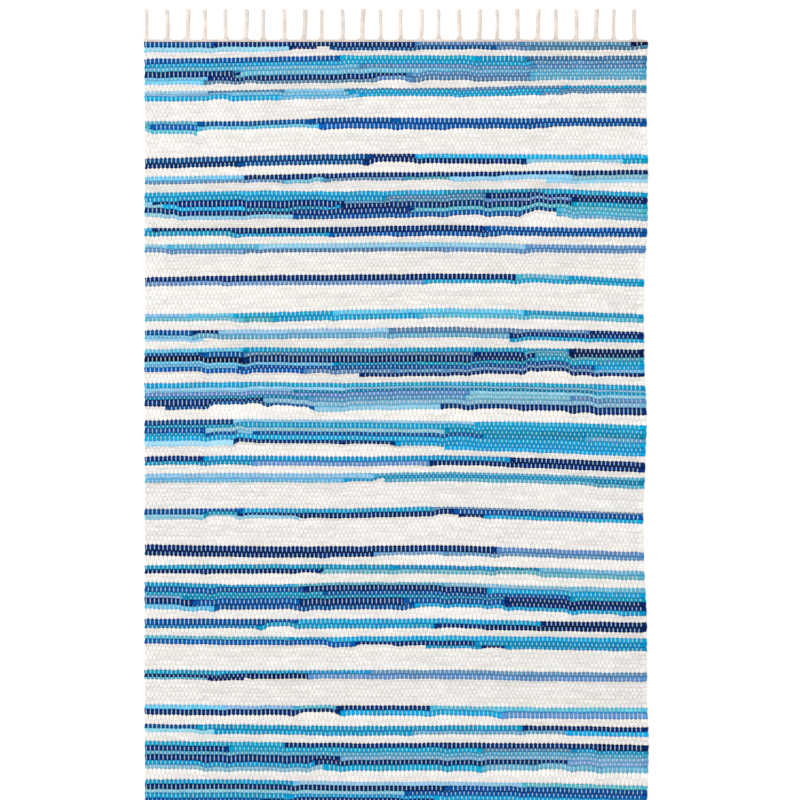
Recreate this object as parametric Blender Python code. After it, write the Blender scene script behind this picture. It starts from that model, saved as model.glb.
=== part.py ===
"""A flat handwoven cotton rag rug with an ecru heading and tassels at each end.

The cloth is one solid with a flat underside. Its upper face carries one low rib for each
pick of rag weft, and its two selvedges bulge where the weft turns back. Each end has a
heading strip, parted from the cloth, with the tassels of its fringe fused to it.

X runs across the rug, Y along it, Z up. The origin is on the floor under the middle.
Sizes are in metres.
"""

import math

import bmesh
import bpy
from mathutils import Vector

COLLECTION = "cotton_rag_rug"

# Cloth
CLOTH_WIDTH = 0.914
CLOTH_LENGTH = 1.5168
CLOTH_THICKNESS = 0.007
PICKS = 198
RIB_DEPTH = 0.0014
SPANS_ACROSS = 9

# Selvedge: how far it dips between two turns of the weft, and its waves in rows of points
TURN_DEPTH = 0.0012
SELVEDGE_WAVES = (
    {"rows": 88, "depth": 0.0011},
    {"rows": 27, "depth": 0.0007},
)
SELVEDGE_HEIGHT = 0.0035
SELVEDGE_ROUNDING = 0.0018
UNDERSIDE_INSET = 0.0015
SELVEDGE_BAND = 0.012

# Bows of the picks: length of each wave across and along, and how far it shifts a pick
BOWS = (
    {"across": 0.610, "along": 0.310, "shift": 0.0016, "start": 0.4},
    {"across": 0.270, "along": 0.130, "shift": 0.0011, "start": 2.1},
    {"across": 0.160, "along": 0.520, "shift": 0.0006, "start": 4.4},
)
STRAIGHT_END = 0.040

# Heading strip, with the least distance from its ends to a tassel's foot
PIECE_GAP = 0.0003
HEADING_INSET = 0.0004
HEADING_WIDTH = CLOTH_WIDTH - 2 * HEADING_INSET
HEADING_MARGIN = 0.0010
HEADING_DEPTH = 0.0048
HEADING_HEIGHT = 0.0056
HEADING_CHAMFER = 0.0014

# Fringe
TASSELS = 26
FRINGE_LENGTH = 0.0613
FIRST_TASSEL_X = -0.4525
TASSEL_GROUP_PITCH = 0.1061
TASSEL_TWIST = math.radians(33)

# The tassels repeat in threes, each a little unlike the next
TASSEL_KINDS = (
    {"offset": 0.0000, "girth": 0.0070, "foot": 0.0120, "lean": 0.0000, "length": 0.97},
    {"offset": 0.0378, "girth": 0.0076, "foot": 0.0155, "lean": -0.0010, "length": 1.00},
    {"offset": 0.0732, "girth": 0.0084, "foot": 0.0145, "lean": 0.0024, "length": 0.98},
)

# A tassel from its foot to its cut end, as shares of its length and girth
TASSEL_SECTIONS = (
    {"along": 0.06, "width": 1.25, "height": 0.74},
    {"along": 0.14, "width": 1.04, "height": 0.80},
    {"along": 0.25, "width": 0.97, "height": 0.82},
    {"along": 0.37, "width": 1.02, "height": 0.80},
    {"along": 0.50, "width": 0.98, "height": 0.83},
    {"along": 0.62, "width": 1.03, "height": 0.80},
    {"along": 0.75, "width": 1.06, "height": 0.80},
    {"along": 0.88, "width": 1.14, "height": 0.76},
    {"along": 1.00, "width": 0.90, "height": 0.62},
)


def clear_scene():
    """Remove every object that the open file holds."""
    for found in list(bpy.data.objects):
        bpy.data.objects.remove(found)


def make_material(name, colour, roughness):
    """A plain cotton with one colour."""
    material = bpy.data.materials.new(name)
    material.use_nodes = True
    shader = material.node_tree.nodes["Principled BSDF"]
    shader.inputs["Base Color"].default_value = (*colour, 1.0)
    shader.inputs["Roughness"].default_value = roughness
    shader.inputs["Metallic"].default_value = 0.0
    return material


def add_object(name, mesh, material, collection):
    """Put a mesh in the rug's collection under its own name."""
    mesh.materials.append(material)
    made = bpy.data.objects.new(name, mesh)
    collection.objects.link(made)
    return made


def pick_bow(x, y):
    """How far a pick at this place is shifted along the rug."""
    shift = 0.0
    for bow in BOWS:
        across = math.sin(math.tau * x / bow["across"] + bow["start"])
        along = math.cos(math.tau * y / bow["along"] + bow["start"])
        shift += bow["shift"] * across * along
    from_end = CLOTH_LENGTH / 2 - abs(y)
    return shift * min(1.0, from_end / STRAIGHT_END)


def selvedge_insets(rows, start):
    """How far inside the widest turn the selvedge lies at each row of the cloth."""
    insets = []
    for row in range(rows + 1):
        inset = TURN_DEPTH if row % 2 == 0 else 0.0
        for wave in SELVEDGE_WAVES:
            inset += wave["depth"] * math.sin(math.tau * row / wave["rows"] + start)
        insets.append(inset)
    least = min(insets)
    return [inset - least for inset in insets]


def shape_upper_face(mesh, left_insets, right_insets):
    """Lay a unit grid out as the ribbed upper face of the cloth."""
    rows = 2 * PICKS
    for vert in mesh.verts:
        across = vert.co.x + 0.5
        row = round((vert.co.y + 0.5) * rows)
        left = -CLOTH_WIDTH / 2 + left_insets[row] + SELVEDGE_ROUNDING
        right = CLOTH_WIDTH / 2 - right_insets[row] - SELVEDGE_ROUNDING
        x = left + (right - left) * across
        y = CLOTH_LENGTH * (row / rows - 0.5)
        on_rib = row % 2 == 1
        z = CLOTH_THICKNESS if on_rib else CLOTH_THICKNESS - RIB_DEPTH
        vert.co = (x, y + pick_bow(x, y), z)


def is_on_selvedge(vert):
    """True for a point of the rim that lies along one of the two selvedges."""
    return abs(vert.co.x) > CLOTH_WIDTH / 2 - SELVEDGE_BAND


def extrude_rim(mesh):
    """Extrude the open rim of the mesh once and give back its new points."""
    rim = [edge for edge in mesh.edges if edge.is_boundary]
    made = bmesh.ops.extrude_edge_only(mesh, edges=rim)
    return [item for item in made["geom"] if isinstance(item, bmesh.types.BMVert)]


def close_underneath(mesh):
    """Round the selvedges down from the upper face and close the flat underside."""
    for vert in extrude_rim(mesh):
        if is_on_selvedge(vert):
            vert.co.x += math.copysign(SELVEDGE_ROUNDING, vert.co.x)
        vert.co.z = SELVEDGE_HEIGHT
    for vert in extrude_rim(mesh):
        if is_on_selvedge(vert):
            vert.co.x -= math.copysign(UNDERSIDE_INSET, vert.co.x)
        vert.co.z = 0.0
    rim = [edge for edge in mesh.edges if edge.is_boundary]
    bmesh.ops.contextual_create(mesh, geom=rim)


def build_cloth(collection):
    """The woven cloth: one slab with a rib for each pick and uneven selvedges."""
    rows = 2 * PICKS
    mesh = bmesh.new()
    bmesh.ops.create_grid(mesh, x_segments=SPANS_ACROSS, y_segments=rows, size=0.5)
    left_insets = selvedge_insets(rows, start=0.7)
    right_insets = selvedge_insets(rows, start=2.9)
    shape_upper_face(mesh, left_insets, right_insets)
    close_underneath(mesh)
    bmesh.ops.recalc_face_normals(mesh, faces=mesh.faces)
    data = bpy.data.meshes.new("rug_cloth")
    mesh.to_mesh(data)
    mesh.free()
    cotton = make_material("dyed_rag_cotton", colour=(0.42, 0.60, 0.72), roughness=0.92)
    return add_object("rug_cloth", data, cotton, collection)


def tassel_places():
    """The middle of each tassel across the rug, with its kind."""
    places = []
    for number in range(TASSELS):
        group, member = divmod(number, len(TASSEL_KINDS))
        kind = TASSEL_KINDS[member]
        x = FIRST_TASSEL_X + group * TASSEL_GROUP_PITCH + kind["offset"]
        places.append((x, kind))
    return places


def make_heading(mesh):
    """The heading strip, lying on the floor with its upper edges chamfered."""
    bmesh.ops.create_cube(mesh, size=1.0)
    size = Vector((HEADING_WIDTH, HEADING_DEPTH, HEADING_HEIGHT))
    bmesh.ops.scale(mesh, vec=size, verts=mesh.verts)
    near_side = CLOTH_LENGTH / 2 + PIECE_GAP
    middle = Vector((0.0, near_side + HEADING_DEPTH / 2, HEADING_HEIGHT / 2))
    bmesh.ops.translate(mesh, vec=middle, verts=mesh.verts)
    long_upper_edges = [
        edge
        for edge in mesh.edges
        if edge.calc_length() > CLOTH_WIDTH / 2 and edge.verts[0].co.z > HEADING_HEIGHT / 2
    ]
    bmesh.ops.bevel(
        mesh, geom=long_upper_edges, offset=HEADING_CHAMFER, segments=1, affect="EDGES"
    )


def cut_across(mesh, x):
    """Cut the heading's faces at one place across the rug, without parting it."""
    geometry = mesh.verts[:] + mesh.edges[:] + mesh.faces[:]
    bmesh.ops.bisect_plane(
        mesh, geom=geometry, plane_co=(x, 0.0, 0.0), plane_no=(1.0, 0.0, 0.0)
    )


def outer_face_at(mesh, x):
    """The face of the heading's outer side that a tassel at x grows from."""
    faces = [face for face in mesh.faces if face.normal.y > 0.99]
    return min(faces, key=lambda face: abs(face.calc_center_median().x - x))


def first_corner(face):
    """Which of a foot's four points is lowest and furthest left."""
    heights = [vert.co.x + vert.co.z for vert in face.verts]
    return heights.index(min(heights))


def tassel_section(x, y, width, height, turn):
    """Four points of a turned square whose lowest point lies on the floor."""
    angles = [math.radians(225 - 90 * corner) + turn for corner in range(4)]
    lowest = min(math.sin(angle) for angle in angles)
    points = []
    for angle in angles:
        above_floor = height / 2 * (math.sin(angle) - lowest)
        points.append(Vector((x + width / 2 * math.cos(angle), y, above_floor)))
    return points


def grow_tassel(mesh, x, kind):
    """Draw one twisted tassel out of the heading's outer side."""
    root = CLOTH_LENGTH / 2 + PIECE_GAP + HEADING_DEPTH
    length = (FRINGE_LENGTH - HEADING_DEPTH) * kind["length"]
    face = outer_face_at(mesh, x)
    first = first_corner(face)
    turn = 0.0
    for section in TASSEL_SECTIONS:
        turn += TASSEL_TWIST
        middle = x + kind["lean"] * section["along"]
        end = root + length * section["along"]
        width = kind["girth"] * section["width"]
        height = kind["girth"] * section["height"]
        face = bmesh.ops.extrude_discrete_faces(mesh, faces=[face])["faces"][0]
        for corner, point in enumerate(tassel_section(middle, end, width, height, turn)):
            face.verts[(first + corner) % 4].co = point


def build_fringe(name, half_turn, material, collection):
    """One end's heading strip with its tassels, in one solid."""
    mesh = bmesh.new()
    make_heading(mesh)
    for x, kind in tassel_places():
        cut_across(mesh, max(x - kind["foot"] / 2, HEADING_MARGIN - HEADING_WIDTH / 2))
        cut_across(mesh, x + kind["foot"] / 2)
    for x, kind in tassel_places():
        grow_tassel(mesh, x, kind)
    bmesh.ops.recalc_face_normals(mesh, faces=mesh.faces)
    data = bpy.data.meshes.new(name)
    mesh.to_mesh(data)
    mesh.free()
    made = add_object(name, data, material, collection)
    if half_turn:
        made.rotation_euler.z = math.pi
    return made


def main():
    """Build the cloth and the two fringed headings."""
    clear_scene()
    collection = bpy.data.collections.new(COLLECTION)
    bpy.context.scene.collection.children.link(collection)
    build_cloth(collection)
    ecru = make_material("ecru_warp_cotton", colour=(0.78, 0.70, 0.64), roughness=0.9)
    build_fringe("fringe_far", False, ecru, collection)
    build_fringe("fringe_near", True, ecru, collection)


main()
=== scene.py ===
"""Looks of a handwoven cotton rag rug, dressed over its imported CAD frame.

Torn cotton rags are woven over and under an ecru warp, so every pick of weft shows as a row
of soft beads with a pale tick of warp between each two, and the next pick's beads sit in its
gaps. At both ends a narrow ecru heading holds the weft, and the warp ends are twisted into
tassels.

X runs across the rug, Y along it with the far end at +Y, Z up. Sizes are in metres. The
weaver's draft counts from the far heading and from the left selvedge.
"""

from __future__ import annotations

import logging
import math
from collections.abc import Sequence
from dataclasses import dataclass, field
from enum import Enum

import bpy
import numpy as np
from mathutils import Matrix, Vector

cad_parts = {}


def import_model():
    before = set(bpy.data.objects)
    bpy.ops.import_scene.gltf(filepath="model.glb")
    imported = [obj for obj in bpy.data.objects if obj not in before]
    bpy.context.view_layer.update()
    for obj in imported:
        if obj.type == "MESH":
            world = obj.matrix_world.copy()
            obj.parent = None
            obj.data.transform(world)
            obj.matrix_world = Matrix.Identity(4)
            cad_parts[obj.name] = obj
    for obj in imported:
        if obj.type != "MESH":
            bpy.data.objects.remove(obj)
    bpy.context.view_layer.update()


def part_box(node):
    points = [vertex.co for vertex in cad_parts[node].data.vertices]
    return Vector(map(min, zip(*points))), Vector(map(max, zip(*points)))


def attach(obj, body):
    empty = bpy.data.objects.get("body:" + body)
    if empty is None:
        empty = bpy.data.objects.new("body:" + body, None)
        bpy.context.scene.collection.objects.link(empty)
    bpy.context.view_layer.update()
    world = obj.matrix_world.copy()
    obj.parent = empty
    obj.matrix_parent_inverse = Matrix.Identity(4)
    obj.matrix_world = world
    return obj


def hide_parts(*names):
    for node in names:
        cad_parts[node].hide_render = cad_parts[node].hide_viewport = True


LOG = logging.getLogger("rag_rug")
BAKE_MAP = "OFBake"
MILLIMETRE = 0.001
CENTIMETRE = 0.01


class Dye(Enum):
    """The colours that the rags are dyed, as display values of red, green and blue."""

    WHITE = (246, 243, 239)
    PALE = (136, 202, 228)
    SKY = (100, 184, 218)
    CORNFLOWER = (96, 142, 194)
    LILAC = (116, 172, 212)
    PERIWINKLE = (88, 140, 188)
    STEEL = (80, 142, 182)
    STEEL_DARK = (56, 112, 154)
    SEA = (80, 186, 214)
    TURQ = (0, 158, 204)
    TEAL = (0, 140, 188)
    TEALROYAL = (0, 80, 142)
    ROYAL = (0, 84, 158)
    NAVY = (0, 44, 110)
    BLACKNAVY = (0, 20, 72)

    def linear(self) -> np.ndarray:
        """The dye as linear red, green and blue."""
        return linear_colour(self.value)


def linear_colour(display: Sequence[float]) -> np.ndarray:
    """Turn display values from 0 to 255 into linear light.

    Args:
        display: Red, green and blue as a screen shows them.

    Returns:
        The same colour as linear red, green and blue.
    """
    share = np.asarray(display, float) / 255
    return np.where(share <= 0.04045, share / 12.92, ((share + 0.055) / 1.055) ** 2.4)


# The weaver's draft. A line that starts with "top" opens a band of coloured picks: how many
# centimetres its upper edge lies from the far end at each fifth of the width, and how many
# white picks follow below it. Each line under it is one pick, from the left selvedge: the
# rag's dye, the hundredth of the width where it starts, and its girth in millimetres. A star
# marks a rag whose end stands out of the cloth as a tuft.
DRAFT = """
top 0 0 0 0 0 0 white 2
royal@0:10 navy@14:9 navy@39:11 periwinkle@54:7 steel@75:8 blacknavy@97:6
pale@0:9 navy@29:4 white@34.6:3 royal@37:7 periwinkle@70:7 steel@77:7
top 3.15 2.85 2.45 2.50 2.65 2.50 white 2
royal@0:9 turq@39:8 teal@66:11 steel_dark@76:8
turq@0:7 turq@37:7 steel@77:7
sea@0:8 sky@19:8 periwinkle@43:7 steel@77:8
navy@0:10 sky@18.5:10* sky@55:7
sky@0:6 navy@13:6 navy@22.6:9 navy@46:4 periwinkle@52.5:6 sky@77:6
sky@0:7 periwinkle@12:6 periwinkle@46:8 steel@53:9 sky@77:8
top 9.05 8.80 8.45 8.40 7.95 7.90 white 5
pale@0:6 steel@13:3 pale@28:5 steel@40:3 steel@62:5 turq@83.5:5*
pale@0:3 sky@17:7 turq@41:6 steel@83:4
turq@0:9 sky@27:6 turq@43:5.5 steel@79:5
top 14.45 14.50 13.70 13.85 13.85 13.85 white 5
sea@0:6 royal@11:8 tealroyal@33:9 royal@50:10 royal@77:8
sea@0:5 royal@1.5:9 sea@11:6.5 royal@35:11 royal@60:9 royal@80:7
sea@0:7 white@11:8
top 21.25 20.75 20.40 20.35 20.50 20.50 white 2
tealroyal@0:10 navy@45:5 turq@54:8
navy@0:8 tealroyal@19:8 navy@44:9 pale@76:6 turq@95:8
top 24.55 24.25 23.80 23.65 23.45 23.30 white 2
sky@0:8 navy@20:8 navy@28:10 navy@33:5 navy@36:8 navy@70:6 navy@85:8
periwinkle@0:6 sky@28:8 periwinkle@36:6 sea@52:5 pale@61:9 pale@85:8
white@0:5 pale@80:6.5
top 27.50 27.05 27.20 26.90 26.60 27.45 white 2
turq@0:8 turq@20:9 turq@60:7 turq@80:9
turq@0:9 steel@48:6 navy@68:9 navy@77:5
pale@0:4 navy@2:4 navy@7:12 navy@38:5 sky@40:4 steel@50:6 periwinkle@68:6 navy@85:7
pale@0:5 turq@4:8 turq@20:7 turq@36:4 navy@39:9 navy@50:10 navy@75:6 turq@85:8
navy@0:9 navy@20:5 navy@30:10 sea@53:8*
pale@0:8 royal@30:9 royal@75:6 sea@82:7
white@0:5 sky@82:7
top 33.85 33.80 33.65 33.25 33.70 33.85 white 2
turq@0:5 navy@2:5* navy@18:10 royal@68:8
turq@0:9 turq@18:6 royal@37:7 royal@50:9 royal@70:8
top 36.85 36.70 36.60 36.40 36.85 37.00 white 6
pale@0:6 sea@5:9 pale@23:9 periwinkle@76:7
periwinkle@0:8 periwinkle@20:6.5 periwinkle@60:7
top 42.80 42.40 42.35 42.10 42.20 43.15 white 6
navy@0:8 navy@16:10 sea@74.5:8 turq@85:7
cornflower@0:8 turq@56:7
top 49.50 49.30 48.75 48.40 48.80 49.50 white 2
lilac@0:6 sea@9:6 turq@18:8 sea@38:8 turq@76:7
sky@0:6.5 sea@20:8 turq@26:9 sea@55:8
top 52.35 52.35 52.10 51.80 52.20 52.70 white 2
royal@0:9 navy@10:5 pale@15:8 periwinkle@49:9 periwinkle@75:6 navy@89:6
sky@0:6 sky@10:9 navy@73:7
pale@0:5 white@12:5 turq@73:7
top 55.90 55.50 55.65 55.50 55.65 55.90 white 2
sea@0:7 turq@20:8* turq@76:4 navy@85:8
royal@0:6 tealroyal@12:10 periwinkle@20:6 navy@66:8 sky@76:4 navy@85:7
blacknavy@0:9 navy@20:12 navy@65:7 sea@78:6
sky@0:6 turq@38:5 turq@55:6 turq@78:9
sky@0:5 royal@19:5 royal@38:7 royal@55:6 turq@90:7
royal@0:8 periwinkle@32:8 steel@50:7 periwinkle@60:6 sky@90:6
white@0:4 navy@43:6
top 62.05 61.75 62.05 61.70 62.00 62.45 white 2
turq@0:9 turq@20:7 turq@90:9
pale@0:6 pale@40:4
pale@0:2.5 turq@30:4.5 turq@90:5
periwinkle@0:7.5 pale@65:7
turq@0:5 steel@33:8 pale@64:8 periwinkle@85:7
navy@0:12 navy@13:4 pale@24:9
white@0:4 royal@4.5:6 royal@25:4 pale@34:9 navy@59:8 navy@75:10 navy@85:13
top 68.80 68.50 68.65 68.90 69.10 69.70 white 2
royal@0:9 pale@18:5 turq@66:9
turq@0:5 turq@20:9 turq@60:8
royal@0:9 pale@12.5:8 turq@60:8
turq@0:5 royal@12.5:5 pale@19:4 royal@22:6 turq@67.5:8 sky@88:9
turq@0:9
pale@0:10 navy@18:6 navy@39.5:6* turq@50:8
white@0:4 turq@60:8
top 75.30 75.15 75.35 75.10 75.65 76.45 white 2
navy@0:9 teal@12:9 navy@73:9
turq@0:7 periwinkle@22:8 navy@57:8 navy@76:9
top 78.45 78.35 78.45 78.10 78.55 79.30 white 6
lilac@0:9 sea@46:5
sky@0:7 turq@40:4.5 turq@90:7
white@0:4 sea@48:7
top 84.90 84.70 84.80 84.40 84.95 85.60 white 6
royal@0:10 royal@12:5 turq@19:8* lilac@58:3.5
pale@0:6 turq@12:6 navy@19:4 navy@31:9 royal@62:9
pale@0:3 pale@18:6 white@31:4 navy@63:4 turq@68:7
top 91.20 91.65 91.65 91.35 92.10 92.80 white 2
navy@0:11 periwinkle@70.5:8
navy@0:9 navy@36:8 lilac@46:6 periwinkle@60:7
top 95.05 94.90 94.90 95.10 95.55 96.20 white 2
turq@0:8 teal@50:7 teal@70:4 sky@79:8
navy@0:7 navy@12:8 navy@30:6 sky@35:8*
top 98.05 98.65 98.15 98.15 98.85 99.30 white 2
turq@0:8 turq@14:5 sea@30:5 pale@60:7 sky@85:9
royal@0:9 navy@32:10 turq@68.5:9
turq@0:6 royal@36:7 turq@85:7
lilac@0:5 turq@8:6 turq@60:4 navy@72:8
navy@0:11 royal@10:10 navy@31:12 royal@52:9 navy@72:8
sea@0:9 royal@14:9 turq@54:7 turq@95:9
top 104.75 104.80 104.80 104.75 105.25 105.50 white 2
royal@0:11 royal@24:5 turq@30:9* navy@79:9
teal@0:6 turq@23:8 navy@58:7 navy@68:9
top 107.75 108.05 108.05 107.85 108.05 108.40 white 5
sea@0:6 turq@29:5 turq@37:9
royal@0:9 navy@42:5 navy@50:8 turq@66:8
white@0:5 turq@56:5 navy@67:4 turq@72:6
top 114.00 114.20 114.10 114.05 114.45 114.65 white 6
turq@0:8 turq@15:6 periwinkle@45:7
navy@0:5 navy@16:6 navy@21:9 periwinkle@33:9
sea@0:4 navy@13:5 white@20:4
top 120.35 120.55 120.50 120.55 120.95 120.95 white 2
sea@0:8 lilac@16:7 sea@30:6 navy@38.5:8 sea@57:7 sea@70:8
navy@0:10 navy@30:6 turq@39:10 periwinkle@71:12
top 123.90 124.00 124.30 124.15 124.15 124.60 white 2
tealroyal@0:7 turq@11:9 navy@75:8
pale@0:7 turq@14:8 sky@53:7 turq@84:9
top 126.95 127.15 127.40 127.30 127.40 127.70 white 2
turq@0:8 navy@28:8 navy@60:9 navy@90:11
navy@0:9 turq@17:8 steel@67:6 turq@85:6
sea@0:7
navy@0:10 navy@12:13 navy@33:7 lilac@39:8
turq@0:8 navy@34:8 navy@78:5 lilac@84:8
pale@0:8 turq@36:11 sky@67:11
top 133.95 133.95 134.40 134.40 134.60 135.15 white 2
turq@0:8 pale@30:7 sea@75:8
navy@0:9 royal@60:9
pale@0:7 royal@52:8
turq@0:10 teal@29:6 turq@58:9
royal@0:10 navy@24:10
top 140.20 140.20 140.70 140.70 140.90 141.40 white 5
pale@0:7 turq@34:8 sky@71:7
royal@0:9 navy@22:8 turq@63:8
turq@0:7 periwinkle@45:8
top 146.90 146.90 147.10 147.10 147.20 147.40 white 2
navy@0:9 tealroyal@41:8 steel@80:7
sky@0:7 sea@27:8 navy@66:6
top 149.95 149.95 150.00 150.00 150.00 150.05 white 0
pale@0:8 turq@33:7 periwinkle@72:7
navy@0:9 royal@47:9 steel@83:7
"""


@dataclass(frozen=True)
class Run:
    """One stretch of a pick that is woven with one rag.

    Attributes:
        dye: The rag's colour.
        start: Where it starts, as a share of the cloth's width from the left selvedge.
        girth: How much of the cloth's length it takes up.
        tuft: True where the rag's end stands out of the cloth.
    """

    dye: Dye
    start: float
    girth: float
    tuft: bool = False

    @classmethod
    def read(cls, word: str) -> Run:
        """Read one rag of the draft.

        Args:
            word: A dye, its start and its girth, such as "navy@14:9".

        Returns:
            The run that the word describes.
        """
        dye, place = word.split("@")
        start, girth = place.rstrip("*").split(":")
        return cls(
            dye=Dye[dye.upper()],
            start=float(start) / 100,
            girth=float(girth) * MILLIMETRE,
            tuft=place.endswith("*"),
        )


@dataclass
class Band:
    """A band of coloured picks with the white picks below it.

    Attributes:
        tops: How far its upper edge lies from the far end at each fifth of the width.
        whites: How many white picks follow it.
        picks: Its coloured picks, each a list of runs.
    """

    tops: list[float]
    whites: int
    picks: list[list[Run]] = field(default_factory=list)


def read_draft(draft: str) -> list[Band]:
    """Read the weaver's draft.

    Args:
        draft: Its text, laid out as the note above it says.

    Returns:
        The bands from the far end to the near one.
    """
    bands: list[Band] = []
    for line in draft.strip().splitlines():
        words = line.split()
        if words[0] == "top":
            tops = [float(word) * CENTIMETRE for word in words[1:-2]]
            bands.append(Band(tops=tops, whites=int(words[-1])))
        else:
            bands[-1].picks.append([Run.read(word) for word in words])
    return bands


def smoothed(values: np.ndarray, reach: int, axis: int) -> np.ndarray:
    """Round off an array's steps along one axis.

    Args:
        values: The array.
        reach: How many entries on each side are blended.
        axis: The axis to blend along.

    Returns:
        An array of the same shape.
    """
    window = np.hanning(2 * reach + 3)[1:-1]
    window = window / window.sum()

    def blend(line: np.ndarray) -> np.ndarray:
        """Blend one line, with its ends held."""
        padded = np.pad(line, reach, mode="edge")
        return np.convolve(padded, window, mode="valid")

    return np.apply_along_axis(blend, axis, values)


def natural(rng: np.random.Generator, shape: tuple[int, int], reach: tuple[int, int]) -> np.ndarray:
    """Uneven values that wander smoothly, as handwork does.

    Args:
        rng: The seeded source of chance.
        shape: Rows and columns of the result.
        reach: How far a value blends into its neighbours, in rows and in columns.

    Returns:
        Values of about one unit either side of nought.
    """
    values = rng.normal(size=shape)
    for axis, span in enumerate(reach):
        if span:
            values = smoothed(values, span, axis)
    return values / values.std()


def grid_mesh(name: str, points: np.ndarray) -> bpy.types.Mesh:
    """Make a smooth sheet of four-sided faces over a grid of points.

    Args:
        name: The mesh's name.
        points: Places in rows from the far end to the near one, each from left to right.

    Returns:
        The mesh, whose faces look up.
    """
    rows, columns = points.shape[:2]
    number = np.arange(rows * columns).reshape(rows, columns)
    corners = np.stack(
        [number[:-1, :-1], number[1:, :-1], number[1:, 1:], number[:-1, 1:]], axis=-1
    )
    mesh = bpy.data.meshes.new(name)
    mesh.vertices.add(rows * columns)
    mesh.vertices.foreach_set("co", points.astype(np.float32).ravel())
    mesh.loops.add(corners.size)
    mesh.loops.foreach_set("vertex_index", corners.astype(np.int32).ravel())
    mesh.polygons.add(corners.size // 4)
    starts = np.arange(0, corners.size, 4, dtype=np.int32)
    mesh.polygons.foreach_set("loop_start", starts)
    mesh.update(calc_edges=True)
    mesh.shade_smooth()
    return mesh


def corner_values(by_row: np.ndarray, by_column: np.ndarray) -> np.ndarray:
    """Spread a grid's row and column values over the corners of its faces.

    Args:
        by_row: For each row of faces, the value at its upper and at its lower edge.
        by_column: For each column of points, its value.

    Returns:
        Rows by columns by four corners by two: the column's value and the row's.
    """
    rows, columns = len(by_row), len(by_column) - 1
    values = np.empty((rows, columns, 4, 2), np.float32)
    for corner, (low, right) in enumerate(((0, 0), (1, 0), (1, 1), (0, 1))):
        values[:, :, corner, 0] = by_column[right : right + columns][None, :]
        values[:, :, corner, 1] = by_row[:, low][:, None]
    return values


def point_corners(values: np.ndarray) -> np.ndarray:
    """Give each corner of a grid's faces the value of the point that it stands on.

    Args:
        values: One value for each point of the grid.

    Returns:
        Rows by columns by four corners.
    """
    return np.stack([values[:-1, :-1], values[1:, :-1], values[1:, 1:], values[:-1, 1:]], axis=-1)


def set_attribute(mesh: bpy.types.Mesh, name: str, values: np.ndarray) -> None:
    """Store a value on each corner of a mesh.

    Args:
        mesh: The mesh.
        name: The attribute's name.
        values: One, three or four numbers for each corner; four are a colour.
    """
    kinds = {1: ("FLOAT", "value"), 3: ("FLOAT_VECTOR", "vector"), 4: ("FLOAT_COLOR", "color")}
    kind, key = kinds[values.shape[-1]]
    made = mesh.attributes.new(name, kind, "CORNER")
    made.data.foreach_set(key, values.astype(np.float32).ravel())


def add_piece(name: str, mesh: bpy.types.Mesh, material: bpy.types.Material) -> bpy.types.Object:
    """Put a mesh into the scene as a piece of the rug.

    Args:
        name: The piece's name.
        mesh: Its mesh.
        material: Its finish.

    Returns:
        The new object.
    """
    mesh.materials.append(material)
    made = bpy.data.objects.new(name, mesh)
    bpy.context.scene.collection.objects.link(made)
    return made


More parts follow.
